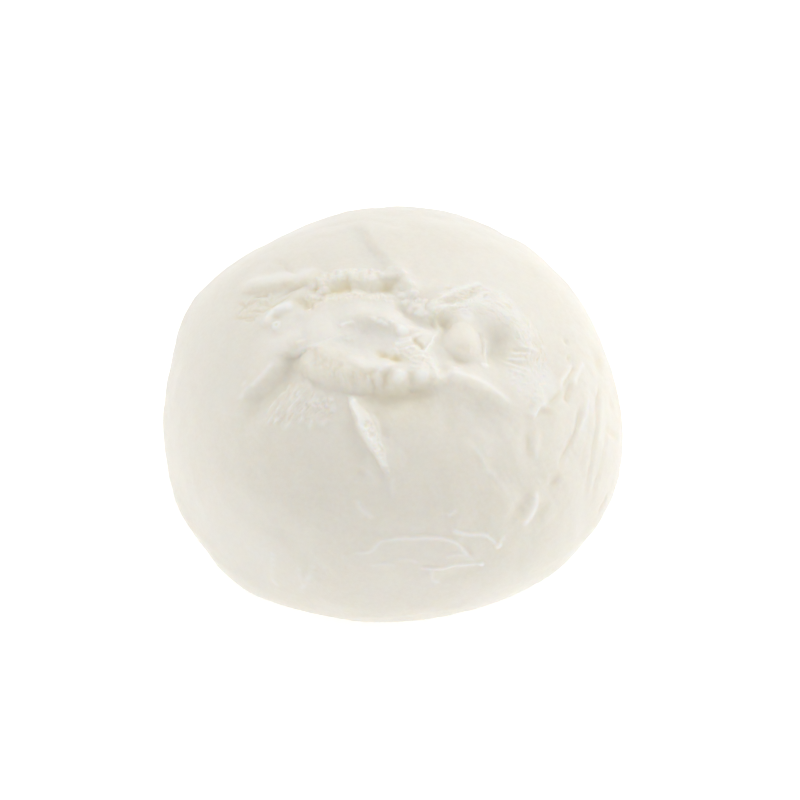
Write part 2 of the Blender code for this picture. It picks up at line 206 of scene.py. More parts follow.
def beside(spots, line):
    """For each spot: signed distance to the line, + on the left of its travel, its share of the way along,
    and the direction to the left there."""
    nearest = np.full(len(spots), np.inf)
    signed = np.zeros(len(spots))
    share = np.zeros(len(spots))
    left_way = np.zeros((len(spots), 2))
    steps = np.linalg.norm(line[1:] - line[:-1], axis=1)
    start = np.concatenate([[0], np.cumsum(steps)])
    for a, b, step, along in zip(line, line[1:], steps, start):
        way = (b - a)/step
        off = spots - a
        t = np.clip(off @ way, 0, step)
        gap = np.linalg.norm(off - t[:, None]*way, axis=1)
        near = gap < nearest
        nearest[near] = gap[near]
        left = way[0]*off[:, 1] - way[1]*off[:, 0]
        signed[near] = (np.sign(left)*gap)[near]
        share[near] = ((along + t)/start[-1])[near]
        left_way[near] = [-way[1], way[0]]
    return signed, share, left_way


def inside(spots, line):
    """Distance in from a closed line, negative outside it."""
    ring = np.vstack([line, line[:1]])
    signed, _, _ = beside(spots, ring)
    crossings = np.zeros(len(spots), int)
    u, v = spots.T
    for a, b in zip(ring, ring[1:]):
        if a[1] != b[1]:
            spans = (v > a[1]) != (v > b[1])
            crossings += spans & (u < a[0] + (v - a[1])*(b[0] - a[0])/(b[1] - a[1]))
    return np.where(crossings % 2 == 1, np.abs(signed), -np.abs(signed))


def taper(share, ends):
    """Grows from 0 over the first end's share of the way, and dies away over the last end's."""
    way_in = smooth(share/ends[0]) if ends[0] else 1
    way_out = smooth((1 - share)/ends[1]) if ends[1] else 1
    return way_in*way_out


class Relief:
    """The skin's relief at each map spot: its height, its sideways shift, how white it is with curd and
    painted highlight, and how deep in a crevice it lies, which tints it with whey and painted shade."""

    def __init__(self, spots):
        self.spots = spots
        self.height = np.zeros(len(spots))
        self.shift = np.zeros((len(spots), 2))
        # whiteness: curd, and painted highlight on crests
        self.curd = np.zeros(len(spots))
        # whey tint and painted shade in troughs
        self.deep = np.zeros(len(spots))

    def near(self, line, reach):
        """Which spots lie in the box round a line, widened by reach."""
        low, high = line.min(axis=0) - reach, line.max(axis=0) + reach
        return np.nonzero(np.all((self.spots > low) & (self.spots < high), axis=1))[0]

    def add(self, k, height, curd=0.0, deep=0.0):
        """Adds to the height. curd makes its crests whiter, as curd white and painted highlight, and deep
        tints its troughs with whey and painted shade.
        """
        self.height[k] += height
        if curd:
            self.curd[k] = np.clip(np.maximum(self.curd[k], height*curd), 0, 1)
        if deep:
            self.deep[k] = np.maximum(self.deep[k], np.clip(-height*deep, 0, 1))

    def ellipse(self, k, centre, size, turn):
        """Squared distance from the centre, in units of the ellipse's half sizes."""
        a = math.radians(turn)
        u, v = (self.spots[k] - centre).T
        x = (u*math.cos(a) + v*math.sin(a))/size[0]
        y = (v*math.cos(a) - u*math.sin(a))/size[1]
        return x*x + y*y

    def patch(self, outline, grow, soft):
        """Which spots lie in an outline grown by grow, and a mask that rises from its edge to 1 over soft."""
        line = curve(outline, closed=True)
        k = self.near(line, grow)
        return k, smooth((inside(self.spots[k], line) + grow)/soft)

    def whiten(self, outline, share, soft):
        """Makes an area whiter, with a soft edge; it serves for whiter curd and for painted highlight."""
        k, mask = self.patch(outline, soft, 2*soft)
        self.curd[k] = np.maximum(self.curd[k], share*mask)

    def mound(self, centre, size, turn, rise, flat=2, **tone):
        """A soft mound, or a hollow where rise is negative. A larger flat gives it a flatter floor."""
        k = self.near(np.array([centre]), 3*max(size))
        self.add(k, rise*np.exp(-self.ellipse(k, centre, size, turn)**(flat/2)), **tone)

    def lump(self, centre, size, turn, rise, **tone):
        """A rounded lump that meets the skin around it at a crease."""
        k = self.near(np.array([centre]), max(size))
        self.add(k, rise*np.clip(1 - self.ellipse(k, centre, size, turn), 0, 1)**0.7, **tone)

    def paste(self, outline, rise, run, power=0.5, fade=None, **tone):
        """A swollen area that rises from its outline, steeply where power is low, and levels off over run.
        fade is (start, way, length): it grows from nothing at start to the full rise after length."""
        line = curve(outline, closed=True)
        k = self.near(line, 0)
        x = np.clip(inside(self.spots[k], line)/run, 0, 1)
        height = rise*(1 - (1 - x)**2)**power
        if fade:
            start, way, length = fade
            height *= smooth((self.spots[k] - start) @ np.array(way)/length)
        self.add(k, height, **tone)

    def fold(self, route, rise, left, right, curl=0, ends=(0.2, 0.2), **tone):
        """A crest, or a crease where rise is negative, as wide as left and right. curl tips it right."""
        line = curve(route)
        k = self.near(line, 3*max(left, right))
        signed, share, way = beside(self.spots[k], line)
        shape = np.exp(-(signed/np.where(signed > 0, left, right))**2)*taper(share, ends)
        self.add(k, rise*shape, **tone)
        self.shift[k] -= (curl*shape)[:, None]*way

    def ledge(self, route, rise, run, drop, curl=0, ends=(0.2, 0.2), **tone):
        """A raised edge: it falls away over run on the left of the route, and over drop on the right."""
        line = curve(route)
        k = self.near(line, 3*run)
        signed, share, way = beside(self.spots[k], line)
        ending = taper(share, ends)
        back = np.exp(-(np.maximum(signed, 0)/run)**2)
        front = smooth(1 + np.minimum(signed, 0)/drop)
        self.add(k, rise*back*front*ending, **tone)
        lip = np.exp(-((signed - 0.3*drop)/(1.2*drop))**2)*ending
        self.shift[k] -= (curl*lip)[:, None]*way

    def grains(self, outline, count, size, rise, seed, **tone):
        """Grains of curd of mixed size inside an outline."""
        draw = np.random.default_rng(seed)
        line = curve(outline, closed=True)
        low, high = line.min(axis=0), line.max(axis=0)
        tries = draw.uniform(low, high, size=(count*4, 2))
        middles = tries[inside(tries, line) > 0][:count]
        radii = draw.uniform(*size, size=len(middles))
        rises = draw.uniform(0.5, 1, size=len(middles))*rise
        k = self.near(line, max(size))
        height = np.zeros(len(k))
        for middle, radius, top in zip(middles, radii, rises):
            gap = np.sum((self.spots[k] - middle)**2, axis=1)/radius**2
            height = np.maximum(height, top*np.clip(1 - gap, 0, 1)**0.6)
        self.add(k, height, **tone)

    def fibres(self, k, across, along, mask, rise, seed, sharp=1.0, **tone):
        """Fine ridges: across and along are coordinates in units of the fibres' spacing and length."""
        wave = noise(np.column_stack([across, along]), seed)
        wave += 0.5*noise(np.column_stack([across*2.1, along*1.7]), seed + 1)
        ridge = 1 - np.abs(np.clip(wave, -1, 1))
        self.add(k, rise*mask*(ridge**sharp - 0.6), **tone)


# ---- the relief, feature by feature

def left_crease(skin):
    """The skin behind the knot rolls over a sunk, wrinkled patch on the left."""
    # the roll, with painted highlight along its crest, the creases under it, and one that runs into it from
    # behind, with painted shade and whey in the creases
    roll = [(-24.4, 7.6), (-21.0, 6.8), (-17.4, 5.2), (-14.4, 4.4), (-11.4, 4.1), (-7.6, 4.9)]
    skin.fold(roll, 0.36, 1.3, 1.2, curl=0.2, ends=(0.35, 0.25))
    skin.fold(roll, 0.54, 3.4, 1.6, ends=(0.35, 0.25))
    skin.whiten([(-21, 7.8), (-18, 5.6), (-14, 4.5), (-11, 4.3), (-10, 5.4), (-12, 6.0), (-16, 6.8)],
                0.45, 0.7)
    skin.fold([(-23.6, 6.1), (-19.9, 4.7), (-17.3, 3.9), (-14.8, 3.4), (-12.4, 3.1), (-10.4, 3.2)],
              -0.36, 0.6, 0.8, ends=(0.25, 0.2), deep=0.45)
    skin.fold([(-16.4, 1.8), (-14.2, 2.5), (-12.2, 2.9), (-10.4, 3.2)],
              -0.26, 0.35, 0.5, ends=(0.4, 0.2), deep=0.6)
    skin.fold([(-18.2, 11.6), (-16.2, 9.2), (-14.2, 6.8), (-12.2, 4.6)],
              -0.24, 0.5, 0.35, ends=(0.3, 0.15), deep=0.6)
    # fuller skin beyond its end
    skin.mound((-27.5, 10.6), (5.0, 4.2), 0, 0.6)
    # the sunk patch, wrinkled and crumpled, with painted shade and whey in its wrinkles and dents, and curd
    # white and painted highlight on its crumples
    for route in [
        [(-23.2, 4.6), (-22.5, 3.7), (-21.4, 2.9), (-19.6, 2.8), (-18.4, 3.0)],
        [(-23.0, 1.9), (-21.9, 2.6), (-20.8, 2.2)],
        [(-21.0, 1.2), (-19.6, 0.9), (-18.4, 0.3), (-17.0, 0.8), (-15.2, 1.2), (-12.6, 1.9)],
        [(-24.4, 1.6), (-22.2, 0.8), (-20.0, -0.2), (-18.2, -0.2)],
        [(-20.6, 3.7), (-18.8, 3.6), (-17.2, 3.2)], [(-19.4, 2.4), (-18.6, 1.7), (-17.2, 1.6)],
        [(-22.0, 0.2), (-20.8, -0.6), (-19.4, -0.9)],
    ]:
        skin.fold(route, -0.17, 0.28, 0.28, deep=2.0)
    k = skin.near(np.array([(-24, -0.8), (-13, 4.8)]), 0)
    mask = np.exp(-((skin.spots[k][:, 0] + 19.4)/4.2)**4 - ((skin.spots[k][:, 1] - 1.8)/2.3)**4)
    skin.add(k, 0.13*mask*noise(skin.spots[k]/0.8, 31) - 0.15*mask, curd=2, deep=0.9)
    # a crest over a small ringed bubble, both with painted highlight, painted shade and whey under the crest
    # and in the bubble's pit, and the uneven ground round it
    skin.whiten([(-17.4, -1.4), (-16.4, -0.1), (-15.2, 0.5), (-13.8, 0.1), (-13.8, -0.8), (-15.8, -0.7)],
                0.9, 0.4)
    skin.fold([(-17.9, -3.0), (-17.4, -1.7), (-16.5, -0.4), (-15.3, 0.0), (-14.2, -0.3), (-13.2, -0.9)],
              0.45, 0.7, 0.8, curd=0.5)
    skin.mound((-15.8, -1.3), (0.8, 0.45), 0, -0.18, deep=1)
    skin.lump((-16.0, -2.9), (0.9, 0.85), 0, 0.28, curd=2.5)
    skin.mound((-16.0, -2.9), (0.3, 0.26), 0, -0.3, deep=2)
    skin.fold([(-12.0, -1.2), (-12.8, -3.4), (-15.0, -4.8), (-17.6, -4.6)], -0.22, 0.9, 0.9)
    skin.mound((-14.4, -6.4), (3.0, 1.5), 8, 0.25)


def seam(skin):
    """The seam that climbs the back: flush with the skin on its right, with a valley on its left."""
    skin.ledge([(-3.4, 18.0), (-2.8, 14.9), (-1.6, 11.2), (-0.4, 8.2), (0.8, 5.6), (2.2, 2.8),
                (3.6, 0.4), (5.6, -1.6)],
               0.55, 4.2, 1.7, curl=0.2, ends=(0.35, 0.15))
    # a thin crest at its near end, whiter with curd and painted highlight
    skin.fold([(0.4, 6.2), (1.6, 3.8), (2.8, 1.5), (4.2, -0.3)], 0.16, 0.8, 0.6, curd=1.2)
    skin.fold([(-5.6, 17.6), (-4.2, 13.6), (-3.0, 10.2), (-2.2, 7.6), (-1.4, 5.4)],
              -0.42, 1.3, 2.8, ends=(0.4, 0.3))


def crevice(skin):
    """The crevice behind the paste, with grains of curd on its rim and in it."""
    # its far rim, the trough, and the trough's arm down to the right, with a little painted shade and whey in
    # the trough and the arm
    skin.fold([(-9.4, 3.6), (-7.2, 3.4), (-5.0, 3.4), (-2.9, 3.1), (-1.2, 3.4), (0.6, 3.3), (1.9, 2.2),
               (3.0, 0.6), (4.2, -1.0)],
              0.4, 1.5, 0.7)
    skin.fold([(-12.0, 0.6), (-8.2, 1.2), (-5.0, 1.6), (-2.0, 1.1), (-0.2, 1.2), (1.2, 0.5), (2.2, -0.6)],
              -0.46, 0.9, 1.5, deep=0.15)
    skin.fold([(0.2, -0.6), (2.0, -2.7), (3.2, -3.8), (4.6, -4.5), (6.2, -4.2)],
              -0.6, 0.9, 0.9, ends=(0.25, 0.1), deep=0.15)
    # two pits in the trough, and the low ground between them, dark with painted shade and whey
    skin.fold([(-8.6, 1.1), (-7.0, 1.4), (-5.8, 1.7), (-4.4, 2.1)], -0.28, 0.7, 0.8, deep=3.2)
    skin.mound((-0.3, 1.5), (1.0, 0.9), 0, -0.3, deep=2.4)
    skin.fold([(-3.0, 1.8), (-1.9, 1.2), (-0.4, 1.1), (1.1, 1.1)], -0.25, 0.5, 0.5, deep=0.8)
    skin.mound((-3.8, 1.4), (1.8, 0.8), 0, -0.2, deep=1.2)
    # lumps of curd that lie in it, whiter with curd and painted highlight, and torn pockets at its left end,
    # dark with painted shade and whey
    for centre, size, rise in [
        ((-4.0, 1.0), (1.0, 0.8), 0.24), ((-9.0, 1.5), (0.8, 0.6), 0.2), ((1.8, 0.2), (1.1, 0.5), 0.35),
        ((-10.2, 0.7), (0.45, 0.5), 0.14), ((3.0, -0.1), (0.8, 0.5), 0.3),
    ]:
        skin.lump(centre, size, 0, rise, curd=1)
    for centre, size, rise in [
        ((-11.2, -0.4), (1.2, 0.9), -0.6), ((-12.4, 0.2), (0.9, 0.7), -0.3),
        ((-9.4, -0.1), (0.7, 0.5), -0.28), ((-8.6, 0.6), (0.5, 0.5), -0.28),
        ((-10.0, 1.9), (0.8, 0.4), -0.34),
    ]:
        skin.mound(centre, size, 0, rise, deep=1.1)
    # nicks in the rim, dark with painted shade and whey
    for u, v in [(-5.9, 2.6), (-3.8, 2.6), (-1.5, 2.8), (-7.0, 3.4), (-2.6, 3.2), (-8.2, 3.0)]:
        skin.fold([(u, v), (u + 0.05, v + 1.1)], -0.18, 0.32, 0.32, deep=0.8)
    # grains of curd on the rim, in the arm and along the trough, white with curd and painted highlight on
    # their tops
    skin.grains([(-9.4, 3.0), (-5, 2.8), (-3, 2.4), (-1.2, 2.8), (0.6, 2.6), (2.6, 0.2), (3.6, -0.6),
                 (2.6, 1.6), (1.6, 3.2), (0.2, 4.2), (-5, 4.3), (-8.6, 4.2)],
                150, (0.22, 0.6), 0.2, 5, curd=1.8)
    skin.grains([(1.4, -0.6), (3.4, -0.6), (5.4, -1.2), (6.4, -2.2), (5.8, -3.4), (4.4, -3.2),
                 (2.8, -2.4)],
                40, (0.22, 0.55), 0.2, 7, curd=2)
    skin.grains([(-11.6, -1.4), (-10.6, 2.2), (-8, 2.6), (-7.6, 0.8), (-5, 0.8), (-2, 0.4), (0.4, 0.2),
                 (0.4, -0.8), (-4, -0.2), (-8, -0.6)],
                130, (0.18, 0.42), 0.15, 8, curd=1.2)


def paste(skin):
    """The stretched paste in the middle: a swelling with a steep front."""
    outline = [(-12.6, -6.6), (-13.0, -5.0), (-11.8, -2.6), (-9.4, -1.1), (-6.0, -0.4), (-2.4, -0.3),
               (0.8, -1.4), (3.6, -4.4), (5.2, -5.6), (6.2, -8.0), (7.2, -12.4), (6.2, -14.3),
               (3.4, -15.5), (0.0, -16.1), (-3.1, -16.0), (-6.6, -15.5), (-9.6, -14.0), (-11.3, -12.0),
               (-12.3, -9.5)]
    # the swelling, and the edge over its front
    skin.paste(outline, 0.6, 3.6, power=1, fade=((-12.5, -3.5), (0.5, -0.87), 8))
    skin.ledge([(-12.2, -7.4), (-11.6, -9.2), (-9.8, -10.9), (-7.2, -12.2), (-4.4, -13.4), (-1.6, -14.2),
                (1.2, -14.4), (4.0, -13.9), (8.0, -13.1)],
               0.95, 3.4, 2.8, ends=(0.12, 0.1))
    # it is whiter than the skin, with a ridge at its left end that has painted highlight on its crest
    skin.whiten([(-12, -5), (-9, -2), (-3, -0.8), (1.4, -2.4), (4.8, -5.2), (6.4, -10), (5.6, -13.8),
                 (3, -14.0), (0.6, -12.6), (-2.4, -11.2), (-6, -8.8), (-9, -8.6), (-12, -8.0)],
                0.3, 1.2)
    skin.whiten([(-17, -8), (-15, -2), (-11, -2), (-11, -8)], 0.25, 1.5)
    skin.fold([(-12.3, -6.4), (-12.2, -8.0), (-11.9, -9.6), (-11.0, -11.4), (-10.2, -12.6)],
              0.34, 1.0, 0.45, ends=(0.1, 0.5), curd=0.8)


def dish(skin):
    """The dish in the paste, between a far and a near rim."""
    skin.fold([(-7.4, -3.8), (-5.2, -3.3), (-2.8, -3.2), (-0.8, -3.8), (1.0, -5.2), (2.2, -6.8)],
              0.7, 1.7, 1.3, ends=(0.4, 0.3))
    # the swelling on its left, the dish, and a low swelling behind it on the right
    skin.mound((-9.5, -6.2), (2.7, 2.7), 0, 0.8)
    skin.mound((-3.1, -7.6), (3.5, 2.3), -8, -0.85)
    skin.mound((-5.8, -8.6), (2.4, 2.0), 0, -0.45)
    skin.mound((3.7, -1.9), (2.6, 1.7), -25, 0.3)
    skin.mound((-3.6, -5.6), (1.5, 1.0), -12, -0.4)
    # near rim, with painted highlight along it
    skin.fold([(-7.4, -10.8), (-5.0, -11.4), (-3.0, -11.4), (-1.4, -12.0), (-0.2, -13.2)],
              0.65, 1.6, 1.6, ends=(0.3, 0.15))
    skin.whiten([(-5, -10.6), (-2, -10.4), (0, -12.2), (-1, -13.2), (-4, -11.8)], 0.5, 0.6)
    # flakes in the dish, and crumbs on its far rim, white with curd and painted highlight
    skin.fold([(-6.4, -5.3), (-5.6, -4.6), (-4.7, -4.2)], 0.2, 0.26, 0.26, curd=3.5)
    skin.lump((-5.2, -6.8), (0.7, 0.4), 20, 0.1, curd=3)
    for centre, size, rise in [
        ((-2.2, -4.1), (0.5, 0.35), 0.2), ((-1.4, -4.6), (0.6, 0.4), 0.28),
        ((-0.7, -5.1), (0.6, 0.45), 0.28), ((0.2, -4.9), (0.45, 0.35), 0.22),
        ((1.5, -5.9), (1.0, 0.9), 0.35), ((3.4, -6.4), (0.7, 0.5), 0.2),
    ]:
        skin.lump(centre, size, -25, rise, curd=3)


def paste_front(skin):
    """The lumps and clefts of the paste's steep front."""
    # two lumps, white on top with curd and painted highlight
    for centre, size, turn, rise in [
        ((1.4, -13.8), (1.1, 1.05), 12, 0.3), ((4.1, -13.5), (0.95, 1.05), -8, 0.3),
    ]:
        skin.mound(centre, size, turn, rise, flat=3)
        skin.lump(centre, size, turn, 0.1, curd=7)
    # the deepest clefts, dark with painted shade and whey
    skin.mound((-0.8, -14.2), (0.75, 1.2), 4, -0.45, flat=2.4, deep=0.8)
    skin.fold([(2.7, -12.8), (2.8, -13.8), (3.0, -14.8)], -0.26, 0.5, 0.5, ends=(0.4, 0.2), deep=0.6)
    skin.mound((3.5, -15.2), (0.9, 0.7), 10, -0.3, deep=0.8)
    # smaller lumps, a little whiter on top with curd and painted highlight
    for centre, size, rise in [
        ((-3.6, -15.0), (1.3, 0.9), 0.14), ((-1.9, -13.9), (0.8, 1.2), 0.2),
        ((2.4, -15.6), (0.7, 0.5), 0.18), ((1.0, -13.0), (0.9, 0.5), 0.16),
        ((5.8, -13.4), (0.9, 0.7), 0.16), ((3.6, -12.3), (0.9, 0.5), 0.2),
        ((-7.6, -13.2), (1.1, 1.0), 0.08), ((-11.2, -8.8), (0.5, 0.45), 0.16),
        ((-9.5, -10.4), (0.5, 0.4), 0.1), ((-8.5, -11.2), (0.45, 0.35), 0.1),
        ((-10.9, -11.0), (0.9, 0.7), 0.14), ((-4.6, -13.0), (0.8, 0.7), 0.08),
    ]:
        skin.lump(centre, size, 0, rise, curd=0.8)
    # shallow clefts, a little darker with painted shade and whey
    for route, width in [
        ([(-4.9, -12.8), (-4.7, -14.8)], 0.6), ([(-2.7, -13.0), (-2.9, -15.2)], 0.7),
        ([(-10.3, -10.3), (-9.9, -11.4)], 0.45), ([(-7.0, -11.8), (-7.1, -13.6)], 0.7),
    ]:
        skin.fold(route, -0.1, width, width, deep=0.2)
    # a pale fold on it, pale with curd and painted highlight, and two dark pits behind it, dark with painted
    # shade and whey
    skin.fold([(-5.8, -11.8), (-5.8, -13.4), (-6.2, -15.0)], 0.24, 0.7, 0.7, curd=0.8)
    skin.mound((-0.7, -9.7), (0.9, 0.8), -40, -0.45, deep=2.4)
    skin.mound((0.9, -10.6), (1.2, 0.75), -10, -0.5, deep=2.4)
    # the crumpled skin of its left half, with curd white and painted highlight on its crumples and painted
    # shade and whey in its dents
    half = [(-12, -8), (-8, -9.6), (-5, -11.5), (-1, -13), (-1, -16), (-5, -15.6), (-9, -13.6)]
    k, mask = skin.patch(half, 0, 1.2)
    crumple = 0.14*noise(skin.spots[k]/[0.7, 1.6], 35) + 0.07*noise(skin.spots[k]/[0.4, 0.7], 36) - 0.12
    skin.add(k, mask*crumple, curd=1.5, deep=0.7)


def shreds(skin):
    """Torn shreds and crumbs between the paste and the bowl."""
    # shreds, white with curd and painted highlight, and a crease among them, dark with painted shade and whey
    skin.fold([(0.6, -8.1), (2.0, -7.8), (3.4, -7.3)], 0.26, 0.5, 0.4, curd=2.5)
    skin.fold([(1.0, -7.2), (2.2, -7.1), (3.2, -6.8)], 0.16, 0.3, 0.3, curd=3)
    skin.fold([(1.5, -8.8), (2.9, -8.6), (4.2, -8.4)], 0.18, 0.3, 0.3, curd=3)
    skin.fold([(3.0, -7.0), (3.9, -8.0), (4.8, -8.9)], -0.4, 0.3, 0.35, deep=1.2)
    skin.fold([(5.8, -5.8), (5.5, -7.4), (5.2, -8.6), (4.4, -9.4), (3.7, -9.9)], 0.26, 0.28, 0.28, curd=2.2)
    skin.grains([(0.8, -8.6), (3.6, -8.8), (5.2, -9.2), (6.4, -10.6), (6.2, -12.4), (3.8, -11.8),
                 (2.6, -10.2), (1.2, -9.6)],
                70, (0.2, 0.5), 0.2, 13, curd=2)
    for u, v in [(3.0, -10.4), (2.6, -9.6), (4.2, -10.8), (2.2, -8.9)]:
        skin.fold([(u, v), (u + 0.8, v + 0.3), (u + 1.7, v)], 0.16, 0.25, 0.25, curd=3)


def front_edges(skin):
    """The undercut below the paste, and the lip that carries on to the right."""
    # the undercut, dark with painted shade and whey
    skin.fold([(-5.4, -15.5), (-2.6, -16.2), (-0.6, -16.2), (1.6, -16.0), (3.6, -15.7), (5.2, -15.4),
               (7.2, -15.0)],
              -0.72, 1.4, 2.8, ends=(0.25, 0.25), deep=0.55)
    # the lip, with painted highlight along its crest and on a small lump
    skin.fold([(4.8, -13.8), (8.1, -13.0), (11.1, -13.4), (13.9, -14.1), (16.4, -15.4), (19.4, -17.0)],
              0.42, 1.5, 1.3, curl=0.3, ends=(0.15, 0.7))
    skin.fold([(6.4, -13.4), (10.6, -13.2), (14.6, -14.8), (19.6, -17.8)], 0.95, 2.2, 6.2, ends=(0.2, 0.7))
    skin.fold([(5.4, -13.0), (8.1, -12.4), (11.1, -12.9), (13.9, -13.4), (16.4, -14.7), (18.5, -15.9)],
              0.12, 0.5, 0.4, curd=5)
    skin.lump((9.1, -11.7), (0.9, 0.35), 0, 0.16, curd=3)
    # the ground that falls away below it
    skin.fold([(6.4, -16.6), (9.6, -17.2), (13.2, -18.3), (17.0, -20.8)], -0.75, 2.7, 6.5, ends=(0.3, 0.6))
    skin.fold([(10.5, -17), (14.5, -20), (16.5, -25), (16.5, -31)], -0.3, 3.5, 3.0)


def wedge(skin):
    """The wedge pulled open on the left, sharp along its upper side."""
    # the hollow, deeper in three places, with painted shade and whey in it
    skin.fold([(-12.6, -8.0), (-12.9, -10.3), (-14.0, -11.8), (-15.7, -13.0), (-17.7, -14.2),
               (-19.8, -15.6), (-21.6, -17.8)],
              -0.86, 2.3, 3.2, ends=(0.05, 0.45), deep=0.18)
    skin.mound((-13.5, -9.2), (1.5, 2.7), -28, -0.32, flat=2.6, deep=0.4)
    skin.mound((-15.3, -11.4), (1.6, 1.9), -42, -0.4, deep=0.25)
    skin.mound((-20.6, -15.2), (1.6, 2.8), -40, -0.45, deep=0.2)
    # its upper edge, with painted highlight along the top
    edge = [(-24.0, -13.2), (-21.6, -12.7), (-19.8, -12.0), (-18.2, -10.8), (-16.9, -9.6), (-15.9, -8.6),
            (-14.6, -7.5), (-13.4, -6.7), (-12.2, -5.9), (-11.0, -5.2)]
    skin.ledge(edge, 0.72, 3.0, 2.2, curl=0.3, ends=(0.5, 0.2), curd=0.3)
    skin.fold([(-22.2, -12.4), (-19.6, -11.6), (-17.7, -10.1), (-16.4, -8.9)],
              0.2, 0.45, 0.4, ends=(0.35, 0.2), curd=4)
    # the crease between it and the paste, dark with painted shade and whey, and flecks above its edge, white
    # with curd and painted highlight
    skin.fold([(-12.7, -10.4), (-11.8, -12.4), (-10.7, -13.8), (-9.0, -15.0)],
              -0.3, 0.9, 0.5, ends=(0.2, 0.4), deep=0.3)
    for centre in [(-21.9, -11.2), (-21.6, -12.2), (-22.6, -12.9)]:
        skin.mound(centre, (0.6, 0.35), 20, 0.1, curd=6)
    # tufts of fibre on its soft side, pointing to its inner end, white with curd and painted highlight on top
    for a, b in [
        ((-14.7, -12.3), (-15.3, -13.6)), ((-15.4, -13.6), (-17.0, -14.8)),
        ((-17.2, -14.8), (-18.8, -16.7)), ((-13.2, -12.9), (-14.2, -14.4)),
        ((-14.0, -14.0), (-15.0, -15.8)), ((-12.6, -14.9), (-14.0, -16.2)),
        ((-13.8, -16.0), (-15.2, -17.5)), ((-11.9, -12.6), (-11.1, -14.2)),
        ((-11.4, -19.1), (-12.3, -20.5)), ((-9.2, -19.1), (-10.4, -20.4)), ((-14.9, -18.9), (-16.1, -20.1)),
        ((-16.0, -15.4), (-17.2, -17.0)), ((-12.4, -16.6), (-13.2, -18.0)),
        ((-17.8, -17.4), (-19.0, -18.6)), ((-10.6, -15.2), (-11.6, -16.4)),
        ((-12.8, -18.2), (-13.8, -19.4)), ((-16.8, -17.8), (-17.8, -18.8)),
        ((-13.0, -14.0), (-13.8, -15.2)),
    ]:
        a, b = np.array(a), np.array(b)
        skin.fold([a + 0.2*(a - b), (a + b)/2 + [0.1, 0.1], b + 0.2*(b - a)],
                  0.15, 0.26, 0.26, ends=(0.4, 0.4), curd=3)
    # fine parallel fibres, and grains of curd, on that side, white with curd and painted highlight on their
    # crests, with painted shade and whey between the fibres
    side = [(-13.4, -11.6), (-10.4, -13.9), (-8.0, -16.2), (-7.4, -18.6), (-10.5, -20.5), (-16, -20.0),
            (-19.6, -18), (-17.4, -14.8), (-15.2, -12.4)]
    k, mask = skin.patch(side, 0.8, 2.4)
    way = np.array([0.70, 0.71])
    across = skin.spots[k] @ np.array([-way[1], way[0]])
    along = skin.spots[k] @ way
    skin.fibres(k, across/0.4, along/2.8, mask, 0.14, 43, 1.4, curd=3, deep=1)
    for centre, size in [
        ((-10.4, -16.1), 0.5), ((-10.2, -16.9), 0.4), ((-8.3, -17.5), 0.7), ((-8.5, -16.2), 0.5),
        ((-9.9, -17.4), 0.35), ((-9.4, -16.0), 0.4), ((-11.2, -16.8), 0.35), ((-9.2, -16.9), 0.35),
    ]:
        skin.lump(centre, (size, size), 0, 0.14, curd=2.5)


# The crest of the hood round the bowl, which its fibres follow too
HOOD = [(4.6, -2.6), (7.2, -1.5), (10.0, -0.6), (13.0, -0.3), (15.8, -1.2), (18.0, -3.0), (19.4, -5.4),
        (20.2, -8.0), (20.4, -11.0)]


def hood(skin):
    """The hood of drawn skin round the bowl, in strands at its left end."""
    skin.fold(HOOD, 0.65, 3.0, 2.1, ends=(0.12, 0.35))
    # painted highlight over its crest
    skin.whiten([(9.6, 0.2), (13, 3.0), (17, 1.4), (20.4, -2.4), (21, -6.4), (18.6, -5.6), (16.4, -3.2),
                 (13.4, -2.2), (10.4, -2.0)],
                0.45, 0.8)
    # strands at its left end, white with curd and painted highlight on their crests, and the crease between
    # them, dark with painted shade and whey
    skin.fold([(5.2, -1.3), (6.4, -0.8), (7.4, 0.2), (8.6, 1.3), (9.8, 2.0), (11.3, 2.7), (13.2, 3.1)],
              0.26, 0.8, 0.4, ends=(0.2, 0.25), curd=2)
    skin.fold([(6.4, -1.6), (7.4, -1.0), (8.6, -0.3), (9.8, 0.2), (11.2, 1.8), (13.2, 2.5)],
              -0.42, 0.5, 0.6, ends=(0.2, 0.35), deep=0.6)
    skin.fold([(5.2, -2.4), (6.8, -2.1), (8.1, -1.5), (9.4, -0.9)],
              0.28, 0.5, 0.45, ends=(0.2, 0.25), curd=2)
    # a patch at its left end, whiter with curd and painted highlight
    skin.whiten([(9.2, -3.0), (9.2, -1.6), (10.6, -1.2), (11.4, -2.2), (10.8, -3.4)], 0.7, 0.6)


def pits(skin):
    """The pits of the bowl, and the thin wall between two of them."""
    # the pits, dark with painted shade and whey
    skin.mound((6.8, -4.1), (1.1, 1.4), 20, -0.58, deep=0.9)
    skin.fold([(8.6, -2.9), (7.4, -3.9), (6.9, -5.4), (6.9, -7.2), (7.6, -8.8)],
              -0.32, 0.8, 0.6, ends=(0.2, 0.35), deep=0.2)
    skin.mound((9.5, -10.2), (1.4, 0.8), 4, -0.32, deep=0.8)
    skin.mound((14.9, -7.0), (1.8, 3.0), 14, -0.8, flat=2.8, deep=0.25)
    skin.mound((14.5, -7.7), (1.2, 1.8), 0, -0.3, deep=0.5)
    # the wall, right of the knob, with a drop at its foot; its crest and a lump at its foot have painted
    # highlight, the groove beside it painted shade and whey
    skin.fold([(12.6, -4.4), (12.9, -6.4), (13.1, -8.6)], -0.25, 0.4, 0.35, deep=0.8)
    skin.fold([(13.2, -4.6), (13.5, -6.5), (13.7, -8.2), (13.9, -9.6)],
              0.18, 0.35, 0.35, ends=(0.5, 0.1), curd=1.2)
    skin.lump((13.6, -10.1), (0.6, 0.6), 0, 0.26, curd=2.5)


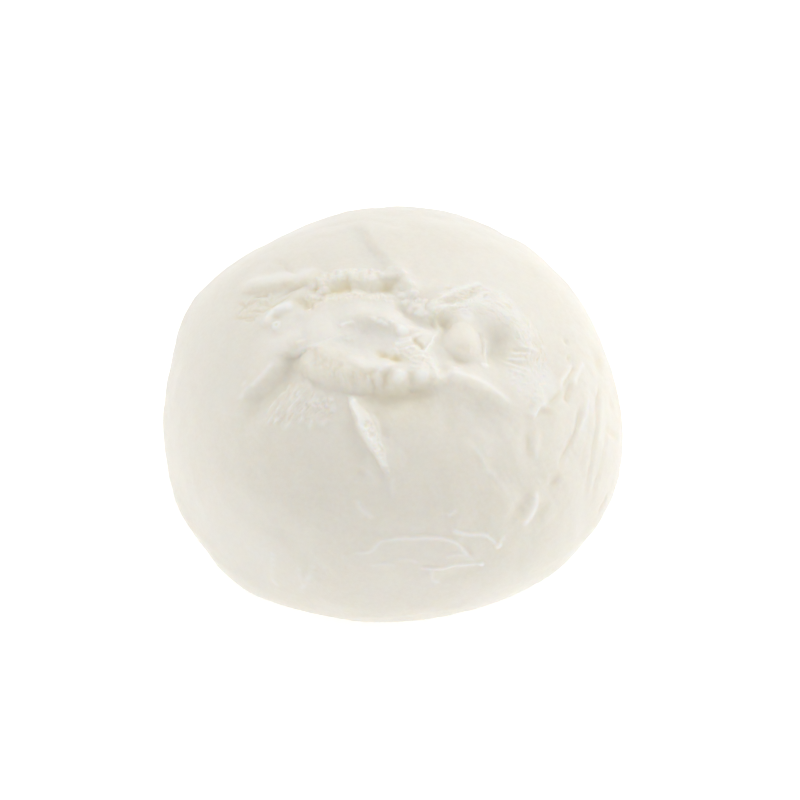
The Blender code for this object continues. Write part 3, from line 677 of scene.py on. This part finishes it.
def knob(skin):
    """The round knob that stands in the bowl, with a dimple low on it."""
    skin.mound((10.0, -6.7), (2.4, 2.7), 0, 0.7, flat=2.8)
    skin.lump((10.1, -6.8), (2.8, 3.0), 0, 0.5)
    skin.mound((11.2, -6.2), (1.3, 1.9), 0, 0.16)
    # the dimple, dark with painted shade and whey
    skin.fold([(8.9, -8.3), (9.9, -8.2), (10.8, -7.9)], -0.15, 0.45, 0.5, deep=0.8)


def hood_fibres(skin):
    """Fibres drawn along the hood, with curd white and painted highlight on them, and flecks between them
    dark with painted shade and whey.
    """
    line = curve(HOOD)
    k = skin.near(line, 3.2)
    signed, share, _ = beside(skin.spots[k], line)
    mask = smooth((3.0 - np.abs(signed - 0.8))/1.2)*taper(share, (0.2, 0.12))
    sway = 0.5*noise(skin.spots[k]/2.4, 51)
    skin.fibres(k, (signed + sway)/0.3, share*9, mask, 0.2, 53, 1.2, curd=3.5, deep=2.0)
    flecks = smooth(noise(np.column_stack([(signed + sway)/0.34, share*15]), 59)*2.6 - 0.9)
    skin.add(k, -0.15*flecks*mask, deep=2.0)


def fingers(skin):
    """Fingers that reach into the bowl on the right, and the speckled ground below them."""
    # the fingers, white with curd and painted highlight along their crests, and grooves between them, dark
    # with painted shade and whey
    for route in [
        [(21.4, -6.2), (19.8, -6.2), (18.0, -6.3)], [(21.0, -7.0), (18.4, -7.3), (17.0, -7.1)],
        [(20.6, -8.0), (18.6, -8.2), (16.5, -8.1)], [(20.6, -9.4), (18.4, -9.4), (16.2, -8.8)],
        [(20.2, -10.2), (18.4, -10.2), (16.8, -9.9)],
    ]:
        skin.fold(route, 0.17, 0.26, 0.26, ends=(0.3, 0.15), curd=2.5)
    for route in [[(20.0, -6.7), (18.6, -6.9), (17.2, -6.7)], [(20.4, -8.7), (18.4, -8.8), (16.6, -8.5)]]:
        skin.fold(route, -0.1, 0.24, 0.24, ends=(0.3, 0.2), deep=1.5)
    # the ground below them, whitened, and speckled with curd white and painted highlight on its bumps and
    # painted shade and whey in its dips
    skin.whiten([(17, -10.4), (19.5, -8.5), (24, -8), (25, -12), (21.4, -14.8), (18, -13)], 0.5, 1.2)
    ground = [(16.2, -10.2), (18.5, -8.9), (21.8, -6.2), (24.9, -7.0), (25.2, -12.3), (21.8, -15.6),
              (17.8, -14.1)]
    k, mask = skin.patch(ground, 0.6, 2)
    speckle = 0.07*noise(skin.spots[k]/[0.8, 0.6], 61) + 0.05*noise(skin.spots[k]/0.35, 62)
    skin.add(k, mask*speckle, curd=5, deep=1.5)


def bowl(skin):
    """The bowl on the right, with all that stands in it and round it."""
    skin.mound((12.0, -7.0), (5.2, 4.6), -8, -0.5, flat=3)
    hood(skin)
    pits(skin)
    knob(skin)
    hood_fibres(skin)
    fingers(skin)


def leaf(skin):
    """The narrow leaf of skin that hangs down the front, sharp on its left."""
    # its raised edge, a little whiter on top with painted highlight
    skin.ledge([(-5.2, -15.8), (-4.9, -18.2), (-4.1, -21.2), (-3.2, -23.2), (-2.0, -25.0), (-1.1, -26.6),
                (-0.4, -29.4)],
               0.5, 1.9, 0.8, curl=0.25, ends=(0.06, 0.3), curd=0.5)
    # its blade, whiter with curd and painted highlight, most along the left, and crumbly on the right, with
    # painted shade and whey in its crumbs
    blade = [(-5.1, -16.2), (-4.5, -16.8), (-3.7, -17.9), (-2.9, -18.9), (-2.3, -20.4), (-1.7, -22.0),
             (-1.2, -23.6), (-0.8, -25.0), (-0.5, -26.4), (-0.2, -28.0), (-0.5, -28.0), (-1.5, -26.2),
             (-2.6, -24.5), (-3.6, -22.8), (-4.3, -21.2), (-4.7, -19.4), (-5.0, -17.6)]
    skin.paste(blade, 0.28, 0.6, curd=1.9)
    skin.fold([(-5.0, -16.4), (-4.5, -18.4), (-3.8, -20.6), (-2.9, -22.6), (-1.2, -25.4)],
              0.22, 0.4, 0.45, ends=(0.08, 0.3), curd=3.5)
    k, mask = skin.patch(blade, 0, 0.3)
    right = smooth((skin.spots[k][:, 0] + 3.9 - 0.42*(skin.spots[k][:, 1] + 19.6))/1.2)
    skin.add(k, mask*right*(0.2*noise(skin.spots[k]/0.5, 61) - 0.05), curd=2, deep=1.4)
    # hollows on both its sides, with a little painted shade and whey
    skin.fold([(-6.2, -19.4), (-5.9, -21.4), (-4.8, -24.4), (-3.4, -26.6)], -0.22, 1.1, 1.8, deep=0.1)
    skin.fold([(-2.6, -18.2), (-1.6, -19.7), (-1.0, -21.4), (-0.6, -23.4)], -0.24, 0.7, 0.35, deep=0.3)
    # threads below it, white with curd and painted highlight, and the dents and the low ridge round it
    for route, rise in [
        ([(-4.2, -26.8), (-3.0, -27.9), (-2.7, -30.2)], 0.1),
        ([(0.7, -24.0), (1.6, -25.2), (1.9, -27.8)], 0.08),
        ([(0.0, -28.4), (0.0, -30.0), (0.4, -31.6)], 0.14),
        ([(-5.8, -31.4), (-4.8, -33.6), (-2.8, -35.2)], 0.18),
    ]:
        skin.fold(route, rise, 0.5, 0.5, curd=1.5)
    skin.mound((-5.0, -28.0), (1.1, 1.0), 0, -0.2)
    skin.fold([(-0.2, -19.8), (2.0, -18.8), (3.6, -17.8)], 0.12, 0.9, 0.9)
    skin.mound((-3.6, -34.0), (1.6, 2.4), 30, -0.16)


def threads(skin):
    """Thin threads of curd stuck to the lower front."""
    # threads, white with curd and painted highlight along their tops
    for route, rise in [
        ([(-8.2, -41.2), (-4.3, -40.7), (-1.8, -38.9), (4.5, -38.6), (10.0, -38.6), (13.8, -41.3),
          (16.4, -42.5)], 0.26),
        ([(9.8, -36.7), (12.3, -37.3), (16.7, -37.4), (19.6, -39.2)], 0.3),
        ([(4.3, -44.3), (7.8, -44.2), (11.7, -43.3), (16.7, -42.7)], 0.28),
        ([(7.2, -44.3), (7.2, -46.2), (8.8, -47.3)], 0.22),
        ([(9.3, -41.7), (11.4, -41.3), (13.5, -41.4)], 0.15),
        ([(0.5, -42.4), (2.6, -42.4), (4.7, -43.3)], 0.15),
        ([(-4.8, -43.5), (-2.0, -43.3), (0.5, -43.6)], 0.15),
        ([(9.0, -34.3), (9.8, -33.7), (10.6, -33.4)], 0.2),
        ([(19.2, -38.9), (19.9, -37.9), (20.3, -36.9)], 0.22),
        ([(-23.2, -38.4), (-25.3, -41.9), (-26.6, -44.2), (-26.5, -47.2)], 0.26),
        ([(-18.9, -42.4), (-19.6, -44.8), (-19.6, -46.8)], 0.22),
        ([(-16.2, -42.2), (-16.4, -43.8), (-18.0, -45.8), (-19.6, -46.8), (-21.6, -48.8)], 0.26),
    ]:
        skin.fold(route, 0.8*rise, 0.3, 0.3, ends=(0.12, 0.12), curd=2.6)
    # blobs on two of them, white with curd and painted highlight
    skin.lump((19.6, -39.0), (0.8, 0.6), 30, 0.35, curd=2.5)
    skin.lump((16.8, -42.7), (0.8, 0.5), 0, 0.35, curd=2.5)
    # a dent among them, and a faint slanting line above, whiter with curd and painted highlight
    skin.fold([(11.5, -38.6), (12.8, -39.4), (13.8, -40.4), (14.4, -41.6)], -0.2, 1.0, 1.0)
    skin.fold([(10.0, -21.6), (15.2, -26.1), (20.8, -31.0)], 0.09, 0.45, 0.45, curd=1.5)


def right_side(skin):
    """Strands, a flap and a curled scar on the right."""
    # drawn strands, white with curd and painted highlight, with slits and pits beside them, dark with painted
    # shade and whey
    skin.fold([(28.2, -5.4), (27.0, -8.0), (25.8, -10.8)], 0.22, 0.35, 0.35, curl=0.1, curd=2.5)
    skin.fold([(28.8, -5.4), (27.4, -8.2), (26.3, -10.6)], -0.28, 0.35, 0.35, deep=1.0)
    skin.fold([(30.8, -3.4), (29.4, -6.6), (28.3, -9.4)], 0.22, 0.4, 0.4, curd=2)
    skin.fold([(28.4, -7.8), (27.8, -10.0), (27.5, -12.6)], -0.4, 0.7, 0.6, ends=(0.5, 0.2), deep=0.9)
    skin.fold([(26.6, -10.8), (25.4, -12.4), (24.2, -14.2)], -0.26, 0.45, 0.45, deep=1.0)
    for centre, size in [
        ((26.9, -1.6), 0.5), ((27.4, -4.6), 0.45), ((35.2, -0.8), 1.2), ((39.9, -6.1), 1.0),
    ]:
        skin.mound(centre, (size, 1.4*size), -10, -0.22 - 0.1*size, deep=0.8)
    # a small flap, white with curd and painted highlight, and a nick under it, dark with painted shade and
    # whey
    skin.ledge([(21.6, -17.3), (22.2, -15.6), (23.0, -14.5), (24.2, -14.1)],
               0.35, 1.2, 0.5, curl=0.2, curd=1.6)
    skin.mound((23.9, -15.3), (1.0, 0.7), 20, -0.22, deep=0.6)
    skin.fold([(21.2, -17.6), (21.5, -20.4), (21.8, -24.4)], -0.24, 0.6, 0.9, ends=(0.4, 0.4), deep=0.8)
    skin.fold([(23.1, -18.0), (23.2, -20.6), (23.2, -23.8)], 0.14, 0.6, 0.5, ends=(0.4, 0.4), curd=2)
    # a curled scar lower down, white with curd and painted highlight, with the hollows beside it, dark with
    # painted shade and whey
    skin.fold([(24.3, -28.2), (24.9, -29.6), (25.0, -31.3), (24.4, -32.9), (23.4, -34.9)],
              0.36, 0.6, 0.8, curl=-0.1, curd=2)
    skin.mound((21.9, -31.8), (1.2, 2.2), -25, -0.36, deep=0.4)
    skin.mound((28.0, -26.2), (1.0, 1.4), -30, -0.35, deep=0.5)
    skin.mound((27.2, -30.8), (0.9, 1.8), -30, -0.3, deep=0.5)


def stretch_marks(skin):
    """Stretch marks that run down the right side."""
    # grooves dark with painted shade and whey, and ridges white with curd and painted highlight
    for route, rise in [
        ([(35.6, -3.4), (35.0, -8.5), (35.4, -14.3), (36.2, -20.4), (37.0, -27.6)], -0.3),
        ([(38.8, -9.0), (38.8, -15.0), (39.4, -22.0), (39.8, -28.0)], -0.16),
        ([(33.4, -12.0), (33.7, -17.0), (33.4, -23.0)], -0.13),
        ([(36.6, -7.0), (36.4, -12.0), (36.8, -17.0)], 0.16),
        ([(30.8, -11.0), (30.6, -15.5), (29.8, -18.6), (28.0, -24.0)], -0.28),
        ([(32.2, -9.0), (32.0, -13.0), (31.6, -16.6)], 0.16),
        ([(37.6, -12.1), (41.3, -12.0), (45.4, -11.0)], -0.3), ([(39.8, -20.4), (38.4, -25.2)], -0.2),
        ([(34.0, -25), (31, -31), (27, -37)], -0.12), ([(44.8, -22.0), (45.2, -24.2), (44.0, -27)], -0.4),
        ([(47.5, -13), (53.9, -13.6), (60, -13)], -0.35), ([(45.5, -33.5), (49.7, -35.2), (54, -38)], -0.4),
    ]:
        skin.fold(route, rise, 0.5, 0.5, deep=0.6, curd=1.5)


def whole_skin(skin, directions):
    """The skin everywhere: soft unevenness, and faint stretch marks from the knot down the sides."""
    p = directions*ARC
    # size of the bumps, their height, and the seed
    bumps = [(13, 0.28, 71), (5.5, 0.16, 73), (2.6, 0.11, 75), (1.1, 0.032, 76)]
    skin.height += sum(rise*noise(p/size, seed) for size, rise, seed in bumps)
    u, v = skin.spots.T
    reach = np.linalg.norm(skin.spots, axis=1)
    turn = np.arctan2(v, u) + 0.10*noise(p/14, 77)
    # the marks begin at the knot's edge, and fade near the bottom, where they run together
    fade = smooth((reach - 17)/14)*smooth((98 - reach)/26)
    ring = np.column_stack([np.cos(turn)*11, np.sin(turn)*11, reach/30])
    marks = noise(ring, 79) + 0.6*noise(ring*[2.3, 2.3, 1.4], 81)
    # they are strongest on the right
    where = 0.35 + 0.65*smooth(np.cos(np.arctan2(v, u))*1.2 + 0.2)
    skin.height += 0.085*fade*where*marks
    hair = noise(ring*[5.5, 5.5, 1.8], 83)
    skin.height += 0.03*fade*where*(1 - np.abs(hair))**2
    # a few shallow creases and dents on the sides that the knot's folds don't reach
    for route, rise, width in [
        ([(-3, 26), (-1, 34), (3, 42), (4, 50)], -0.35, 1.4), ([(14, 22), (22, 30), (27, 40)], -0.3, 1.2),
        ([(-20, 22), (-26, 32), (-28, 44)], -0.3, 1.5), ([(-34, 10), (-42, 12), (-50, 10)], -0.25, 1.0),
        ([(24, 34), (30, 42), (32, 52)], 0.2, 0.7), ([(-12, 40), (-16, 48), (-24, 54)], 0.18, 0.6),
        ([(6, 56), (14, 60), (22, 58)], 0.18, 0.5), ([(-44, -6), (-52, -10), (-58, -20)], -0.2, 0.9),
    ]:
        skin.fold(route, rise, width, width)


def ragged(spots):
    """The spots moved a little by noise, so that what is laid out on them gets uneven edges."""
    # the knot is the most ragged
    amount = 0.35 + 0.65*np.exp(-(np.linalg.norm(spots - [0, -8], axis=1)/22)**4)
    move = np.zeros_like(spots)
    for axis in range(2):
        for size, reach, seed in [(3.6, 0.45, 91), (1.3, 0.12, 93), (0.5, 0.05, 95)]:
            move[:, axis] += reach*noise(spots/size, seed + 10*axis)
    return spots + move*amount[:, None]


def knot(skin):
    """The knot, sunk a little in the crown, and what runs out from it over the sides."""
    skin.mound((1, -6.5), (17, 12), 0, -0.7)
    seam(skin)
    left_crease(skin)
    wedge(skin)
    paste(skin)
    dish(skin)
    paste_front(skin)
    shreds(skin)
    crevice(skin)
    bowl(skin)
    front_edges(skin)
    leaf(skin)
    threads(skin)
    right_side(skin)
    stretch_marks(skin)


# ---- mesh

def wanted(spots):
    """The longest edge that the relief needs at each spot."""
    longest = np.full(len(spots), np.inf)
    for edge, outline in ZONES:
        longest[inside(spots, curve(outline, closed=True)) > 0] = edge
    return longest


def sphere():
    """A unit icosphere, finer where the relief is finer."""
    ball = bmesh.new()
    bmesh.ops.create_icosphere(ball, subdivisions=DETAIL, radius=1)
    for _ in ZONES:
        ends = np.array([(*edge.verts[0].co, *edge.verts[1].co) for edge in ball.edges])
        a, b = ends[:, :3], ends[:, 3:]
        middle = (a + b)/np.linalg.norm(a + b, axis=1, keepdims=True)
        cut = np.linalg.norm(a - b, axis=1)*ARC > wanted(map_of(middle))
        chosen = [edge for edge, long in zip(ball.edges, cut) if long]
        bmesh.ops.subdivide_edges(ball, edges=chosen, cuts=1, use_grid_fill=True)
        bmesh.ops.triangulate(ball, faces=[face for face in ball.faces if len(face.verts) > 3])
        for vertex in ball.verts:
            vertex.co.normalize()
    mesh = bpy.data.meshes.new("mozzarella")
    ball.to_mesh(mesh)
    ball.free()
    return mesh


def settle(points):
    """Sets the body down: z is from the table, and what would sink below it is pressed flat."""
    z = points[:, 2] + SETTLED
    e = SETTLE_EASE
    points[:, 2] = np.where(z <= -e, 0, np.where(z < e, (z + e)**2/(4*e), z))
    return points


def placed(directions, spots, shift):
    """The directions moved sideways by the relief's shift, where there is one."""
    moved = np.any(np.abs(shift) > 1e-6, axis=1)
    result = directions.copy()
    result[moved] = directions_of(spots[moved] + shift[moved])
    return result


def store(mesh, name, values):
    """Keeps a value for each vertex, which the material reads by its name."""
    layer = mesh.attributes.new(name, "FLOAT", "POINT")
    layer.data.foreach_set("value", np.clip(values, 0, 1).astype(np.float32))


def build_ball():
    """The ball: every point of the sphere moved out to the body, and on by the relief's height there."""
    mesh = sphere()
    directions = np.empty(len(mesh.vertices)*3)
    mesh.vertices.foreach_get("co", directions)
    directions = directions.reshape(-1, 3)
    directions /= np.linalg.norm(directions, axis=1, keepdims=True)
    spots = map_of(directions)
    skin = Relief(ragged(spots))
    knot(skin)
    skin.spots = spots
    whole_skin(skin, directions)
    points, normals = body(placed(directions, spots, skin.shift))
    # nothing but the flat of the base touches the table
    off_sole = smooth((directions[:, 2] + SOLE)/SOLE_EASE)
    points = settle(points + normals*(skin.height*off_sole)[:, None])
    low, high = points.min(axis=0), points.max(axis=0)
    points[:, :2] -= ((low + high)/2)[:2]
    mesh.vertices.foreach_set("co", (points*MM).ravel())
    # curd white with painted highlight on crests, and whey with painted shade in troughs, for the material
    store(mesh, "curd", skin.curd)
    store(mesh, "deep", skin.deep)
    mesh.update()
    mesh.shade_smooth()
    ball = bpy.data.objects.new("mozzarella", mesh)
    bpy.context.scene.collection.objects.link(ball)
    return ball


# ---- looks

def cheese():
    """Damp white cheese that light sinks into, creamier on the skin and white where curd shows, with painted
    highlight on crests and whey with painted shade in troughs.
    """
    material = bpy.data.materials.new("fresh_cheese")
    material.use_nodes = True
    nodes, links = material.node_tree.nodes, material.node_tree.links
    surface = nodes["Principled BSDF"]

    def node(kind, **values):
        made = nodes.new(kind)
        for key, value in values.items():
            if hasattr(made, key):
                setattr(made, key, value)
            else:
                made.inputs[key.replace("_", " ")].default_value = value
        return made

    where = node("ShaderNodeTexCoord").outputs["Object"]

    def grain(scale, detail=3.0, rough=0.5):
        made = node("ShaderNodeTexNoise", Scale=scale, Detail=detail, Roughness=rough)
        links.new(where, made.inputs["Vector"])
        return made.outputs["Fac"]

    def attribute(name):
        made = node("ShaderNodeAttribute")
        made.attribute_name = name
        return made.outputs["Fac"]

    def mix(factor, a, b):
        made = node("ShaderNodeMix", data_type="RGBA")
        for socket, value in ((made.inputs[0], factor), (made.inputs[6], a), (made.inputs[7], b)):
            if isinstance(value, (tuple, float)):
                socket.default_value = value
            else:
                links.new(value, socket)
        return made.outputs[2]

    def spread(value, low, high, to_low=0.0, to_high=1.0):
        made = node("ShaderNodeMapRange", From_Min=low, From_Max=high, To_Min=to_low, To_Max=to_high)
        links.new(value, made.inputs["Value"])
        return made.outputs["Result"]

    # broad patches of two tones, fine pale specks, white curd and painted highlight on the crests, and whey
    # and painted shade in the depths
    cream = mix(spread(grain(60), 0.35, 0.65), CREAM, MILK)
    speckled = mix(spread(grain(1500, 3, 0.6), 0.3, 0.7, to_high=0.5), cream, SPECK)
    with_curd_and_highlight = mix(attribute("curd"), speckled, CURD_AND_HIGHLIGHT)
    color = mix(spread(attribute("deep"), 0, 1, to_high=0.75), with_curd_and_highlight, WHEY_AND_SHADE)
    links.new(color, surface.inputs["Base Color"])

    # damper and drier patches
    rough = spread(grain(180, 4), 0.3, 0.7, to_low=0.36, to_high=0.56)
    links.new(rough, surface.inputs["Roughness"])
    surface.inputs["IOR"].default_value = 1.4
    # light sinks in about two millimetres, red the deepest
    surface.inputs["Subsurface Weight"].default_value = 1.0
    surface.inputs["Subsurface Radius"].default_value = (1.0, 0.82, 0.6)
    surface.inputs["Subsurface Scale"].default_value = 2.2*MM
    # pores finer than the mesh
    bump = node("ShaderNodeBump", Strength=0.35, Distance=0.12*MM)
    links.new(grain(900, 5, 0.6), bump.inputs["Height"])
    links.new(bump.outputs["Normal"], surface.inputs["Normal"])
    return material


def floor():
    """A plain white table, which glows a little so that it is as white as the room."""
    material = bpy.data.materials.new("white_table")
    material.use_nodes = True
    surface = material.node_tree.nodes["Principled BSDF"]
    surface.inputs["Base Color"].default_value = TABLE
    surface.inputs["Roughness"].default_value = 0.8
    surface.inputs["Emission Color"].default_value = WHITE
    surface.inputs["Emission Strength"].default_value = TABLE_GLOW
    mesh = bpy.data.meshes.new("table")
    plane = bmesh.new()
    bmesh.ops.create_grid(plane, x_segments=1, y_segments=1, size=2)
    plane.to_mesh(mesh)
    plane.free()
    mesh.materials.append(material)
    table = bpy.data.objects.new("table", mesh)
    bpy.context.scene.collection.objects.link(table)


def lamp(name, place, power):
    """A square soft lamp that points at the ball."""
    light = bpy.data.lights.new(name, "AREA")
    light.size = LAMP_SIZE
    light.energy = power
    holder = bpy.data.objects.new(name, light)
    holder.location = place
    holder.rotation_euler = (Vector(LAMP_AIM) - Vector(place)).to_track_quat("-Z", "Y").to_euler()
    bpy.context.scene.collection.objects.link(holder)


def room():
    """White light from all around, and the lamps."""
    world = bpy.data.worlds.new("studio")
    world.use_nodes = True
    sky = world.node_tree.nodes["Background"]
    sky.inputs["Color"].default_value = WHITE
    sky.inputs["Strength"].default_value = SKY_GLOW
    bpy.context.scene.world = world
    for name, place, power in LAMPS:
        lamp(name, place, power)


def camera():
    """Looks down at the ball from the front, as from standing at a table."""
    tilt = math.radians(TILT)
    back = Vector((0, -math.cos(tilt), math.sin(tilt)))
    up = Vector((0, math.sin(tilt), math.cos(tilt)))
    data = bpy.data.cameras.new("camera")
    data.lens = LENS
    data.sensor_width = SENSOR
    data.clip_start = 0.01
    eye = bpy.data.objects.new("camera", data)
    aim = Vector((0, 0, SETTLED*MM)) + AIM[0]*MM*Vector((1, 0, 0)) + AIM[1]*MM*up
    eye.location = aim + back*DISTANCE
    eye.rotation_euler = (-back).to_track_quat("-Z", "Y").to_euler()
    bpy.context.scene.collection.objects.link(eye)
    bpy.context.scene.camera = eye


ball = build_ball()
ball.data.materials.append(cheese())
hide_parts("mozzarella_ball")
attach(ball, "root")
floor()
room()
camera()
bpy.context.scene.view_settings.view_transform = "Standard"
